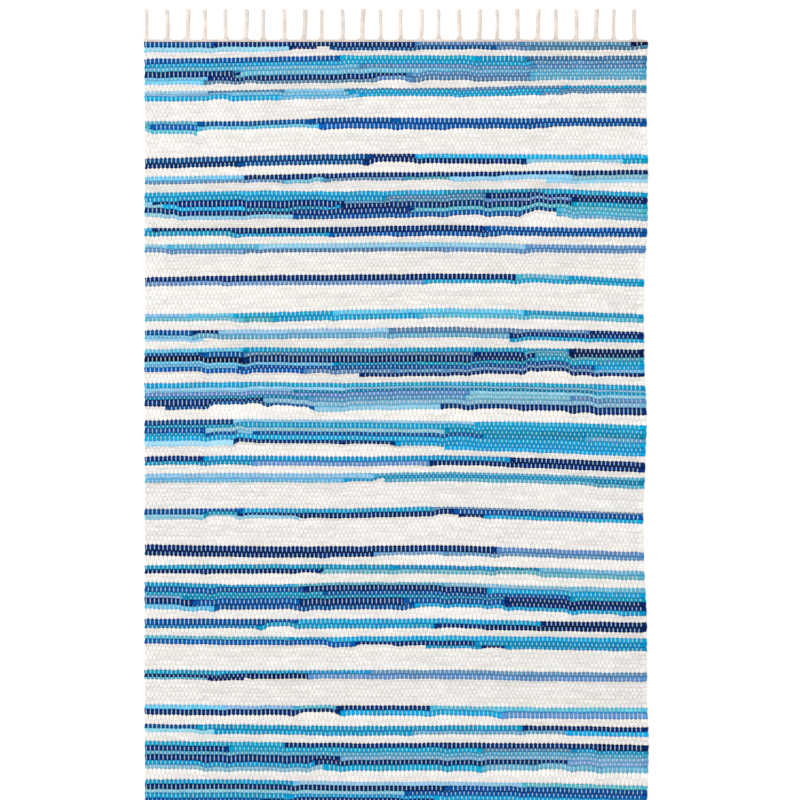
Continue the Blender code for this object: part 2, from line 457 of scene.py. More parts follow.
class Recipe:
    """A material's node tree while it is laid out."""

    def __init__(self, name: str) -> None:
        """Start a material with one plain shader."""
        self.material = bpy.data.materials.new(name)
        self.material.use_nodes = True
        self.tree = self.material.node_tree
        self.shader = self.tree.nodes["Principled BSDF"]

    def node(self, kind: str, **settings: object) -> bpy.types.Node:
        """Add a node.

        Args:
            kind: Its type without the words "ShaderNode".
            **settings: Properties to set on it.

        Returns:
            The node.
        """
        made = self.tree.nodes.new("ShaderNode" + kind)
        for key, value in settings.items():
            setattr(made, key, value)
        return made

    def feed(self, socket: bpy.types.NodeSocket, value: object) -> None:
        """Link a socket to another one, or set it to a plain value."""
        if isinstance(value, bpy.types.NodeSocket):
            self.tree.links.new(value, socket)
        else:
            socket.default_value = value

    def math(self, operation: str, *values: object) -> bpy.types.NodeSocket:
        """Work out a number.

        Args:
            operation: One of the Math node's operations.
            *values: Its inputs, sockets or numbers.

        Returns:
            The result's socket.
        """
        made = self.node("Math", operation=operation)
        for socket, value in zip(made.inputs, values):
            self.feed(socket, value)
        return made.outputs[0]

    def ramp(self, value: object, low: float, high: float, to: tuple[float, float]) -> object:
        """Map a number smoothly from one range to another.

        Args:
            value: The number's socket.
            low: Where the range starts.
            high: Where it ends.
            to: What its two ends become.

        Returns:
            The result's socket.
        """
        made = self.node("MapRange", interpolation_type="SMOOTHSTEP")
        for key, part in zip(
            ("Value", "From Min", "From Max", "To Min", "To Max"), (value, low, high, *to)
        ):
            self.feed(made.inputs[key], part)
        return made.outputs["Result"]

    def stretched(self, vector: object, scale: Sequence[float]) -> bpy.types.NodeSocket:
        """Scale a place along its three axes."""
        made = self.node("VectorMath", operation="MULTIPLY")
        self.feed(made.inputs[0], vector)
        made.inputs[1].default_value = tuple(scale)
        return made.outputs[0]

    def noise(self, vector: object, scale: float, detail: float = 3.0) -> bpy.types.NodeSocket:
        """Cloudy values from 0 to 1.

        Args:
            vector: The place.
            scale: How many clouds there are to a unit.
            detail: How many finer layers they have.

        Returns:
            The value's socket.
        """
        made = self.node("TexNoise", noise_dimensions="3D")
        self.feed(made.inputs["Vector"], vector)
        made.inputs["Scale"].default_value = scale
        made.inputs["Detail"].default_value = detail
        return made.outputs["Fac"]

    def mixed(self, share: object, first: object, second: object, blend: str = "MIX") -> object:
        """Blend two colours.

        Args:
            share: How much of the second shows.
            first: The first colour.
            second: The second colour.
            blend: How they are blended.

        Returns:
            The colour's socket.
        """
        made = self.node("Mix", data_type="RGBA", blend_type=blend)
        self.feed(made.inputs[0], share)
        self.feed(made.inputs[6], first)
        self.feed(made.inputs[7], second)
        return made.outputs[2]

    def bump(self, height: object, depth: float, under: object = None) -> bpy.types.NodeSocket:
        """Raise a fine relief.

        Args:
            height: The relief from 0 to 1.
            depth: How high 1 stands, in metres.
            under: A coarser relief that this one lies on.

        Returns:
            The normal's socket.
        """
        made = self.node("Bump")
        made.inputs["Strength"].default_value = 1.0
        made.inputs["Distance"].default_value = depth
        self.feed(made.inputs["Height"], height)
        if under is not None:
            self.feed(made.inputs["Normal"], under)
        return made.outputs["Normal"]


@dataclass(frozen=True)
class EcruCotton:
    """Undyed plied cotton, as the warp, heading and tassels are made of.

    Attributes:
        display: Its colour as a screen shows it.
        shade: How much darker its creases are.
        twist: How many turns a thread makes in a metre.
    """

    display: tuple[float, float, float] = (238, 230, 222)
    shade: float = 0.84
    twist: float = 420.0

    def colour(self) -> tuple[float, float, float, float]:
        """The yarn as a linear colour."""
        return (*linear_colour(self.display), 1.0)

    def material(self) -> bpy.types.Material:
        """Make the finish of the headings and tassels.

        Returns:
            A material that reads the attribute "yarn": length along the yarn, way round it.
        """
        recipe = Recipe("ecru_warp_cotton")
        yarn = recipe.node("Attribute", attribute_name="yarn").outputs["Vector"]
        parts = recipe.node("SeparateXYZ")
        recipe.feed(parts.inputs[0], yarn)
        along, around, strand = parts.outputs
        turns = recipe.math("MULTIPLY_ADD", along, self.twist, around)
        plies = recipe.math("SINE", recipe.math("MULTIPLY", turns, math.tau))
        ply = recipe.ramp(plies, -1.0, 0.6, (0.0, 1.0))
        place = recipe.node("TexCoord").outputs["Object"]
        fuzz = recipe.noise(place, 2600.0, 4.0)
        cloud = recipe.noise(place, 55.0, 2.0)
        # Painted shade in the grooves between the plies: the yarn's colour times shade.
        shaded_colour = (*(linear_colour(self.display) * self.shade), 1.0)
        colour = recipe.mixed(ply, shaded_colour, self.colour())
        worn = recipe.ramp(cloud, 0.35, 0.7, (0.90, 1.05))
        grain = recipe.ramp(fuzz, 0.3, 0.7, (0.94, 1.04))
        strands = recipe.math("MULTIPLY_ADD", recipe.math("FRACT", strand), 0.08, 0.95)
        tone = recipe.math("MULTIPLY", recipe.math("MULTIPLY", worn, grain), strands)
        scaled = recipe.node("VectorMath", operation="SCALE")
        recipe.feed(scaled.inputs[0], colour)
        recipe.feed(scaled.inputs["Scale"], tone)
        recipe.feed(recipe.shader.inputs["Base Color"], scaled.outputs[0])
        recipe.feed(recipe.shader.inputs["Roughness"], recipe.ramp(fuzz, 0.2, 0.8, (0.84, 0.96)))
        relief = recipe.bump(ply, 0.00022)
        recipe.feed(recipe.shader.inputs["Normal"], recipe.bump(fuzz, 0.00010, under=relief))
        recipe.shader.inputs["Specular IOR Level"].default_value = 0.12
        recipe.shader.inputs["Sheen Weight"].default_value = 0.05
        return recipe.material


@dataclass(frozen=True)
class RagCotton:
    """Torn, folded rags of dyed cotton with the pale warp showing between the beads.

    Attributes:
        warp: The finish of the warp threads.
        tick_width: How wide a tick of warp is, as a share of the pitch of the warp.
        fold_shade: How dark the creases of a rag's folds are painted, as shade.
        tint: How much painted light in the colour of the rags beside it falls on the warp.
    """

    warp: EcruCotton
    tick_width: float
    fold_shade: float = 0.88
    tint: float = 0.45

    def material(self, name: str) -> bpy.types.Material:
        """Make the finish of the woven cloth.

        Args:
            name: The material's name.

        Returns:
            A material that reads three attributes. "dye" is the rag's colour. "lay" is a
            place in the weave: pitches of warp, way down the pick from 0 to 1, and the
            pick's number. "open" is 1 where the warp shows and 0 where a rag covers it.
        """
        recipe = Recipe(name)
        dye = recipe.node("Attribute", attribute_name="dye").outputs["Color"]
        lay = recipe.node("Attribute", attribute_name="lay").outputs["Vector"]
        opened = recipe.node("Attribute", attribute_name="open").outputs["Fac"]
        parts = recipe.node("SeparateXYZ")
        recipe.feed(parts.inputs[0], lay)
        across, down, number = parts.outputs
        place = recipe.node("TexCoord").outputs["Object"]

        folds = recipe.noise(recipe.stretched(lay, (0.55, 5.5, 3.71)), 1.0, 3.0)
        fold = recipe.ramp(folds, 0.34, 0.66, (0.0, 1.0))
        faded = recipe.noise(recipe.stretched(lay, (0.16, 0.5, 2.93)), 1.0, 2.0)
        grain = recipe.noise(place, 1900.0, 3.0)
        weave = self.fine_weave(recipe, place)
        bead = recipe.node("TexWhiteNoise", noise_dimensions="2D")
        recipe.feed(bead.inputs["Vector"], self.bead_number(recipe, across, number))

        # Painted shade in the creases of each rag's folds and a little painted light on their
        # ridges, times the rags' own uneven fading, grain and fine weave.
        tone = recipe.ramp(folds, 0.30, 0.70, (self.fold_shade, 1.05))
        tone = recipe.math("MULTIPLY", tone, recipe.ramp(faded, 0.3, 0.7, (0.93, 1.05)))
        tone = recipe.math("MULTIPLY", tone, recipe.ramp(grain, 0.25, 0.75, (0.95, 1.04)))
        tone = recipe.math("MULTIPLY", tone, recipe.ramp(weave, 0.0, 1.0, (0.96, 1.02)))
        uneven = recipe.ramp(bead.outputs["Value"], 0.0, 1.0, (1.06, 0.94))
        # Painted shade: the dye is raised to a higher power in the dips between picks and beside the
        # warp ticks, and a little up or down at random for each bead.
        shaded_colour = recipe.node("Gamma")
        recipe.feed(shaded_colour.inputs["Color"], dye)
        depth = recipe.math("MULTIPLY", self.painted_dip_shade(recipe, across, down, opened), uneven)
        recipe.feed(shaded_colour.inputs["Gamma"], depth)
        scaled = recipe.node("VectorMath", operation="SCALE")
        recipe.feed(scaled.inputs[0], shaded_colour.outputs[0])
        recipe.feed(scaled.inputs["Scale"], tone)

        tick = self.tick(recipe, across, down, opened)
        thread = self.thread(recipe, across, down, place, dye)
        colour = recipe.mixed(tick, scaled.outputs[0], thread)
        recipe.feed(recipe.shader.inputs["Base Color"], colour)

        rough = recipe.ramp(grain, 0.2, 0.8, (0.86, 0.98))
        recipe.feed(recipe.shader.inputs["Roughness"], rough)
        coarse = recipe.bump(fold, 0.0007)
        fine = recipe.bump(weave, 0.00016, under=coarse)
        recipe.feed(recipe.shader.inputs["Normal"], recipe.bump(grain, 0.00014, under=fine))
        recipe.shader.inputs["Specular IOR Level"].default_value = 0.06
        recipe.shader.inputs["Sheen Weight"].default_value = 0.03
        return recipe.material

    def bead_number(self, recipe: Recipe, across: object, number: object) -> object:
        """A place that is the same all over one bead and unlike every other bead's."""
        place = recipe.node("CombineXYZ")
        recipe.feed(place.inputs[0], recipe.math("ROUND", across))
        recipe.feed(place.inputs[1], number)
        return place.outputs[0]

    def painted_dip_shade(self, recipe: Recipe, across: object, down: object, opened: object) -> object:
        """The gamma that paints shade into the dye: 1 on a bead's crown and more in the dips round
        it.
        """
        ends = recipe.math("ABSOLUTE", recipe.math("MULTIPLY_ADD", down, 2.0, -1.0))
        end = recipe.ramp(ends, 0.45, 1.0, (0.0, 1.0))
        beside = recipe.math(
            "ABSOLUTE", recipe.math("SUBTRACT", recipe.math("FRACT", across), 0.5)
        )
        flank = recipe.ramp(beside, self.tick_width * 0.4, self.tick_width, (0.45, 0.0))
        shut = recipe.math("MULTIPLY", flank, opened)
        return recipe.math("MULTIPLY_ADD", recipe.math("MAXIMUM", end, shut), 0.42, 1.0)

    def fine_weave(self, recipe: Recipe, place: object) -> bpy.types.NodeSocket:
        """The sheeting's own fine threads, as values from 0 to 1."""
        parts = recipe.node("SeparateXYZ")
        recipe.feed(parts.inputs[0], recipe.stretched(place, (9200.0, 9200.0, 9200.0)))
        along = recipe.math("SINE", parts.outputs[0])
        over = recipe.math("SINE", parts.outputs[1])
        return recipe.math("MULTIPLY_ADD", recipe.math("MULTIPLY", along, over), 0.5, 0.5)

    def tick(self, recipe: Recipe, across: object, down: object, opened: object) -> object:
        """How far the warp shows: 1 in the middle of a tick, 0 on a bead."""
        beside = recipe.math(
            "ABSOLUTE", recipe.math("SUBTRACT", recipe.math("FRACT", across), 0.5)
        )
        ends = recipe.math("MULTIPLY_ADD", down, 2.0, -1.0)
        narrowed = recipe.math("MULTIPLY", recipe.math("MULTIPLY", ends, ends), 0.62)
        half = recipe.math("SQRT", recipe.math("SUBTRACT", 1.0, narrowed))
        edge = recipe.math("MULTIPLY", half, self.tick_width / 2)
        inside = recipe.math("SUBTRACT", edge, beside)
        shown = recipe.ramp(inside, -0.012, 0.012, (0.0, 1.0))
        return recipe.math("MULTIPLY", shown, recipe.ramp(opened, 0.3, 0.7, (0.0, 1.0)))

    def thread(
        self, recipe: Recipe, across: object, down: object, place: object, dye: object
    ) -> object:
        """The colour of a tick: a pair of plied threads in the light that the rags throw back.

        Args:
            recipe: The material's nodes.
            across: Pitches of warp across the cloth.
            down: The way down the pick from 0 to 1.
            place: The place in space.
            dye: The colour of the rag beside it.

        Returns:
            The colour's socket.
        """
        apart = recipe.math("SUBTRACT", recipe.math("FRACT", across), 0.5)
        # Painted shade: darker down the line between the pair of threads, in the grooves of their
        # plies, and towards the tick's ends where it dips under the beads.
        between = recipe.ramp(recipe.math("ABSOLUTE", apart), 0.0, 0.03, (0.80, 1.0))
        slant = recipe.math("MULTIPLY_ADD", apart, 18.0, recipe.math("MULTIPLY", down, 5.0))
        ply = recipe.math("SINE", recipe.math("MULTIPLY", slant, math.tau))
        shade = recipe.ramp(ply, -1.0, 0.4, (0.88, 1.0))
        ends = recipe.math("ABSOLUTE", recipe.math("MULTIPLY_ADD", down, 2.0, -1.0))
        shade = recipe.math("MULTIPLY", shade, recipe.ramp(ends, 0.4, 1.0, (1.0, 0.70)))
        fuzz = recipe.ramp(recipe.noise(place, 2400.0, 3.0), 0.3, 0.7, (0.94, 1.03))
        tone = recipe.math("MULTIPLY", recipe.math("MULTIPLY", between, shade), fuzz)
        # Painted light: the warp takes on the colour that the rags beside it throw back.
        painted_bounce = recipe.node("Gamma")
        recipe.feed(painted_bounce.inputs["Color"], dye)
        recipe.feed(painted_bounce.inputs["Gamma"], 0.25)
        tinted = recipe.mixed(self.tint, (1.0, 1.0, 1.0, 1.0), painted_bounce.outputs[0])
        lit = recipe.mixed(1.0, self.warp.colour(), tinted, "MULTIPLY")
        scaled = recipe.node("VectorMath", operation="SCALE")
        recipe.feed(scaled.inputs[0], lit)
        recipe.feed(scaled.inputs["Scale"], tone)
        return scaled.outputs[0]


@dataclass(frozen=True)
class Drift:
    """How far the right selvedge has wandered at one place.

    Attributes:
        along: The place, from the far end.
        outward: How far out the selvedge lies there.
    """

    along: float
    outward: float


SELVEDGE_DRIFT = (
    Drift(along=0.00, outward=0.0010),
    Drift(along=0.12, outward=-0.0006),
    Drift(along=0.22, outward=0.0030),
    Drift(along=0.33, outward=0.0018),
    Drift(along=0.40, outward=-0.0034),
    Drift(along=0.49, outward=-0.0062),
    Drift(along=0.60, outward=-0.0032),
    Drift(along=0.69, outward=0.0008),
    Drift(along=0.78, outward=-0.0026),
    Drift(along=0.85, outward=-0.0060),
    Drift(along=0.96, outward=-0.0044),
    Drift(along=1.04, outward=0.0004),
    Drift(along=1.19, outward=0.0006),
    Drift(along=1.26, outward=0.0040),
    Drift(along=1.33, outward=0.0030),
    Drift(along=1.42, outward=-0.0010),
    Drift(along=1.52, outward=0.0010),
)


@dataclass
class Weave:
    """The woven cloth: where every pick runs, how high it stands and what it is dyed.

    Attributes:
        width: From selvedge to selvedge.
        length: From heading to heading.
        pitches: Pairs of warp across the cloth.
        tick_width: How wide a tick of warp shows.
        valley: Height of the dips between picks.
        crest: Height of a bead of common girth.
        common_girth: The girth that the crest's height is given for.
        interlock: How far a bead reaches into the next pick, as a share of its girth.
        cap: How far the weft's turn covers the warp at a selvedge.
        seed: What the unevenness of the handwork starts from.
    """

    width: float
    length: float
    pitches: int = 118
    tick_width: float = 0.0018
    valley: float = 0.0047
    crest: float = 0.0070
    common_girth: float = 0.0077
    least_white: float = 0.0055
    interlock: float = 0.125
    left_cap: float = 0.0020
    right_cap: float = 0.0096
    overlap: float = 1.3
    overlap_bulge: float = 0.22
    notch: float = 0.0014
    notch_reach: float = 0.0120
    turn_radius: float = 0.0030
    side_height: float = 0.0026
    rag_end_lift: float = 0.0009
    bead_profile: tuple[float, ...] = (1.0, 0.92, 0.40, 0.62)
    covered_profile: float = 0.96
    row_shares: tuple[float, ...] = (0.0, 0.28, 0.72)
    seed: int = 20
    bands: list[Band] = field(default_factory=lambda: read_draft(DRAFT))

    def __post_init__(self) -> None:
        """Lay the weave out."""
        self.rng = np.random.default_rng(self.seed)
        half_tick = self.tick_share() / 2
        offsets = np.array([0, half_tick, 0.5 - half_tick, 0.5, 0.5 + half_tick, 1 - half_tick])
        whole = (np.arange(self.pitches)[:, None] + offsets[None, :]).ravel()
        self.across = np.append(whole, self.pitches)
        self.runs = self.list_picks()
        self.picks = len(self.runs)
        self.girths = np.array([self.girth_of(runs) for runs in self.runs])
        self.edges = self.lay_edges()
        self.covered = np.array([self.cover_of(runs) for runs in self.runs])

    def pitch(self) -> float:
        """The distance between two pairs of warp."""
        return self.width / self.pitches

    def tick_share(self) -> float:
        """A tick's width as a share of the pitch."""
        return self.tick_width / self.pitch()

    def list_picks(self) -> list[list[Run]]:
        """Every pick in order, the white ones among them."""
        picks: list[list[Run]] = []
        for band in self.bands:
            picks += band.picks
            picks += [[Run(Dye.WHITE, 0.0, self.common_girth)] for _ in range(band.whites)]
        return picks

    def girth_of(self, runs: list[Run]) -> np.ndarray:
        """A pick's girth at each column of points, blended where rags change."""
        girths = smoothed(self.by_column([run.girth for run in runs], runs), 9, 0)
        for run in runs[1:]:
            away = (self.across - run.start * self.pitches) / self.overlap
            girths = girths * (1 + self.overlap_bulge * np.exp(-(away**2)))
        return girths

    def by_column(self, values: Sequence[float], runs: list[Run]) -> np.ndarray:
        """Give each column of points the value of the run that it lies in."""
        starts = np.array([run.start for run in runs]) * self.pitches
        return np.asarray(values, float)[np.searchsorted(starts, self.across, "right") - 1]

    def cover_of(self, runs: list[Run]) -> np.ndarray:
        """How far rag ends and the weft's turns cover the warp of a pick, from 0 to 1."""
        covered = np.zeros(len(self.across))
        for before, after in zip(runs, runs[1:]):
            share = 1.0 if before.dye != after.dye else 0.45
            away = (self.across - after.start * self.pitches) / 0.95
            covered = np.maximum(covered, share * np.exp(-(away**4)))
        return np.maximum(covered, 1.0 / (1.0 + np.exp((self.past_cap() * 9.0))))

    def past_cap(self) -> np.ndarray:
        """How far each column of points is inside the nearer turn's cap, in pitches."""
        left = self.across - self.left_cap / self.pitch()
        right = self.pitches - self.across - self.right_cap / self.pitch()
        return np.minimum(left, right)

    def lay_edges(self) -> np.ndarray:
        """Where the dips between picks run, in metres from the far end, by column."""
        share = self.across / self.pitches
        fifths = np.linspace(0, 1, 6)
        tops = [smoothed(np.interp(share, fifths, band.tops), 60, 0) for band in self.bands]
        tops.append(np.full(len(share), self.length))
        edges = [tops[0]]
        first = 0
        for number, band in enumerate(self.bands):
            girths = self.girths[first : first + len(band.picks)]
            room = tops[number + 1] - tops[number]
            need = girths.sum(axis=0) + band.whites * self.least_white
            scale = room / need if band.whites == 0 else np.minimum(1.0, room / need)
            bottoms = tops[number] + np.cumsum(girths * scale, axis=0)
            edges += list(bottoms)
            for white in range(1, band.whites + 1):
                step = (tops[number + 1] - bottoms[-1]) * white / band.whites
                edges.append(bottoms[-1] + step)
            first += len(band.picks) + band.whites
        return np.array(edges)

    def wavered_edges(self) -> np.ndarray:
        """The dips with the weaver's unevenness and with the beads interlocked."""
        steps = np.diff(self.edges, axis=0)
        waver = natural(self.rng, self.edges.shape, (1, 14)) * 0.00030
        waver += natural(self.rng, self.edges.shape, (0, 1)) * 0.00016
        reach = np.zeros_like(self.edges)
        reach[1:-1] = np.minimum(steps[:-1], steps[1:]) * self.interlock
        waver[0] = waver[-1] = 0.0
        inside = 1.0 - np.maximum(
            np.vstack([self.covered, self.covered[-1:]]), np.vstack([self.covered[:1], self.covered])
        )
        sign = np.where(np.arange(len(self.edges)) % 2 == 1, 1.0, -1.0)[:, None]
        zigzag = reach * sign * np.cos(math.tau * self.across)[None, :] * (0.25 + 0.75 * inside)
        return self.edges + waver + zigzag

    def bead_distance(self) -> np.ndarray:
        """How far each point of each pick is from the middle of a bead, in pitches."""
        shifted = self.across[None, :] + 0.5 * (np.arange(self.picks) % 2)[:, None]
        return np.abs((shifted + 0.5) % 1.0 - 0.5)

    def point_grid(self) -> tuple[np.ndarray, np.ndarray, np.ndarray]:
        """The upper face's points.

        Returns:
            Their places across, along and up, each in three rows a pick and a last one.
        """
        edges = self.wavered_edges()
        steps = np.diff(edges, axis=0)
        crests = self.crest_heights()
        dips = self.dip_heights()
        rows = self.picks * len(self.row_shares)
        along = np.empty((rows + 1, len(self.across)))
        height = np.empty_like(along)
        for row, share in enumerate(self.row_shares):
            along[row:rows:3] = edges[:-1] + steps * share
            height[row:rows:3] = dips[:-1] if row == 0 else crests
        along[-1] = edges[-1]
        height[-1] = dips[-1]
        across = self.outline(along)
        return across, self.length / 2 - along, self.turned_down(height)

    def crest_heights(self) -> np.ndarray:
        """How high each pick stands at each column of points."""
        tick = self.tick_share() / 2
        shares = (0.0, tick, 0.5 - tick, 0.5)
        beads = np.interp(self.bead_distance(), shares, self.bead_profile)
        profile = beads + (self.covered_profile - beads) * self.covered
        plump = np.clip((self.girths / self.common_girth) ** 0.6, 0.55, 1.22)
        lumps = natural(self.rng, profile.shape, (0, 2)) * 0.00012
        drift = natural(self.rng, profile.shape, (1, 30)) * 0.00010
        ends = self.covered * self.rag_end_lift * (self.past_cap() > 0)
        return self.valley + (self.crest - self.valley) * plump * profile + lumps + drift + ends

    def dip_heights(self) -> np.ndarray:
        """How high the dips between picks lie, shallow where a turn joins two picks."""
        dips = np.full((self.picks + 1, len(self.across)), self.valley)
        dips += natural(self.rng, dips.shape, (0, 6)) * 0.00012
        numbers = np.arange(self.picks + 1)[:, None]
        left = self.across[None, :] < self.pitches / 2
        joined = np.where(left, numbers % 2 == 0, numbers % 2 == 1)
        turn = 1.0 / (1.0 + np.exp(self.past_cap() * 6.0))
        dips += np.where(joined, 0.0013, -0.0006) * turn
        dips[0] = dips[-1] = self.valley
        return dips

    def from_side(self) -> np.ndarray:
        """How far each column of points is from the nearer selvedge, in pitches."""
        return np.minimum(self.across, self.pitches - self.across)

    def outline(self, along: np.ndarray) -> np.ndarray:
        """Each point's place across, with a rounded turn at every second dip.

        Args:
            along: The points' places along the cloth, for their number of rows.

        Returns:
            Places across in metres from the middle.
        """
        straight = (self.across / self.pitches - 0.5) * self.width
        across = np.repeat(straight[None, :], len(along), axis=0)
        way = (np.arange(len(along)) // 3 + np.array(self.row_shares)[np.arange(len(along)) % 3])
        drift = natural(self.rng, (len(along), 2), (24, 0)) * 0.00035
        for side, sign, start in ((0, -1.0, 1.0), (1, 1.0, 0.0)):
            round_turn = np.abs(np.sin(math.pi * (way + start) / 2))
            inset = self.notch * (1 - round_turn) ** 1.3 + 0.0006 + drift[:, side]
            near = self.across if side == 0 else self.pitches - self.across
            fade = np.clip(1 - near * self.pitch() / self.notch_reach, 0, 1) ** 2
            across -= sign * inset[:, None] * fade[None, :]
        places = [drift.along for drift in SELVEDGE_DRIFT]
        moves = [drift.outward for drift in SELVEDGE_DRIFT]
        drifted = smoothed(np.interp(along[:, -1], places, moves), 12, 0)
        return across + drifted[:, None] * (self.across / self.pitches)[None, :] ** 2

    def turned_down(self, height: np.ndarray) -> np.ndarray:
        """Heights rounded down at the two selvedges."""
        from_side = self.from_side() * self.pitch()
        share = np.clip(from_side / self.turn_radius, 0, 1)
        round_down = np.sqrt(1 - (1 - share) ** 2)
        return self.side_height + (height - self.side_height) * round_down[None, :]

    def dye_grid(self) -> np.ndarray:
        """The linear colour of each pick between every two columns of points."""
        middles = (self.across[1:] + self.across[:-1]) / 2
        colours = np.empty((self.picks, len(middles), 3))
        for number, runs in enumerate(self.runs):
            starts = np.array([run.start for run in runs]) * self.pitches
            starts = np.floor(starts * 2) / 2
            chosen = np.searchsorted(starts, middles, "right") - 1
            dyes = np.array([self.dyed(run.dye) for run in runs])
            colours[number] = dyes[chosen]
        return colours

    def dyed(self, dye: Dye) -> np.ndarray:
        """One rag's colour, a little unlike the next rag of the same dye."""
        depth = 1.0 + self.rng.normal() * (0.012 if dye is Dye.WHITE else 0.12)
        tint = 1.0 + self.rng.normal(size=3) * (0.006 if dye is Dye.WHITE else 0.04)
        return np.clip(dye.linear() * depth * tint, 0.0, 0.95)

    def lay_grid(self) -> np.ndarray:
        """For each corner of the upper face: pitches across, way down the pick, its number."""
        shares = np.array([*self.row_shares, 1.0])
        by_row = np.array([[shares[row % 3], shares[row % 3 + 1]] for row in range(3 * self.picks)])
        values = corner_values(by_row, self.across)
        numbers = np.repeat(np.arange(self.picks), 3)
        lay = np.empty((*values.shape[:3], 3), np.float32)
        lay[..., 0] = values[..., 0] + 0.5 * (numbers % 2)[:, None, None]
        lay[..., 1] = values[..., 1]
        lay[..., 2] = numbers[:, None, None]
        return lay

    def open_grid(self) -> np.ndarray:
        """For each corner of the upper face: 1 where the warp shows, 0 where it is covered."""
        by_point = 1.0 - np.vstack([np.repeat(self.covered, 3, axis=0), self.covered[-1:]])
        return point_corners(by_point)[..., None]


def bake_map(rows: int, columns: int, margin: float = 0.004) -> np.ndarray:
    """A flat map of a wide sheet: its left half under its right half.

    Args:
        rows: Rows of faces.
        columns: Columns of faces.
        margin: The empty rim round each half.

    Returns:
        Rows by columns by four corners by two.
    """
    half = columns // 2
    by_row = np.stack([np.arange(rows), np.arange(1, rows + 1)], axis=1) / rows
    by_column = np.arange(columns + 1) / half
    places = corner_values(by_row, by_column)
    right = (np.arange(columns) >= half)[None, :, None]
    places[..., 0] = margin + (places[..., 0] - right) * (1 - 2 * margin)
    places[..., 1] = margin + (1 - places[..., 1]) * (0.5 - 2 * margin) + 0.5 * right
    return places


def set_bake_map(mesh: bpy.types.Mesh, places: np.ndarray) -> None:
    """Give a mesh the map that its finish is baked on."""
    layer = mesh.uv_layers.new(name=BAKE_MAP)
    layer.uv.foreach_set("vector", places.astype(np.float32).ravel())


@dataclass
class WovenFace:
    """The upper face of the cloth, cut into lengths between two picks.

    Attributes:
        weave: Where the picks run.
        lengths: How many pieces it is built in.
    """

    weave: Weave
    lengths: int = 5

    def build(self, material: bpy.types.Material) -> list[bpy.types.Object]:
        """Build every length of the face.

        Args:
            material: The rags' finish.

        Returns:
            The pieces from the far end to the near one.
        """
        weave = self.weave
        self.points = np.stack(weave.point_grid(), axis=-1)
        dye = np.repeat(weave.dye_grid(), 3, axis=0)
        self.dye = np.concatenate([dye, np.ones((*dye.shape[:2], 1))], axis=-1)
        self.lay = weave.lay_grid()
        self.opened = weave.open_grid()
        cuts = np.linspace(0, weave.picks, self.lengths + 1).round().astype(int) * 3
        pieces = []
        for number, (first, last) in enumerate(zip(cuts, cuts[1:])):
            pieces.append(self.length_of_face(f"weave_{number + 1}", first, last, material))
        return pieces

    def length_of_face(
        self, name: str, first: int, last: int, material: bpy.types.Material
    ) -> bpy.types.Object:
        """Build one length.

        Args:
            name: The piece's name.
            first: Its first row of faces.
            last: The row after its last.
            material: The rags' finish.

        Returns:
            The piece.
        """
        mesh = grid_mesh(name, self.points[first : last + 1])
        dye = np.repeat(self.dye[first:last, :, None, :], 4, axis=2)
        set_attribute(mesh, "dye", dye)
        set_attribute(mesh, "lay", self.lay[first:last])
        set_attribute(mesh, "open", self.opened[first:last])
        set_bake_map(mesh, bake_map(last - first, mesh_columns(self.points)))
        return add_piece(name, mesh, material)


def mesh_columns(points: np.ndarray) -> int:
    """How many columns of faces a grid of points has."""
    return points.shape[1] - 1


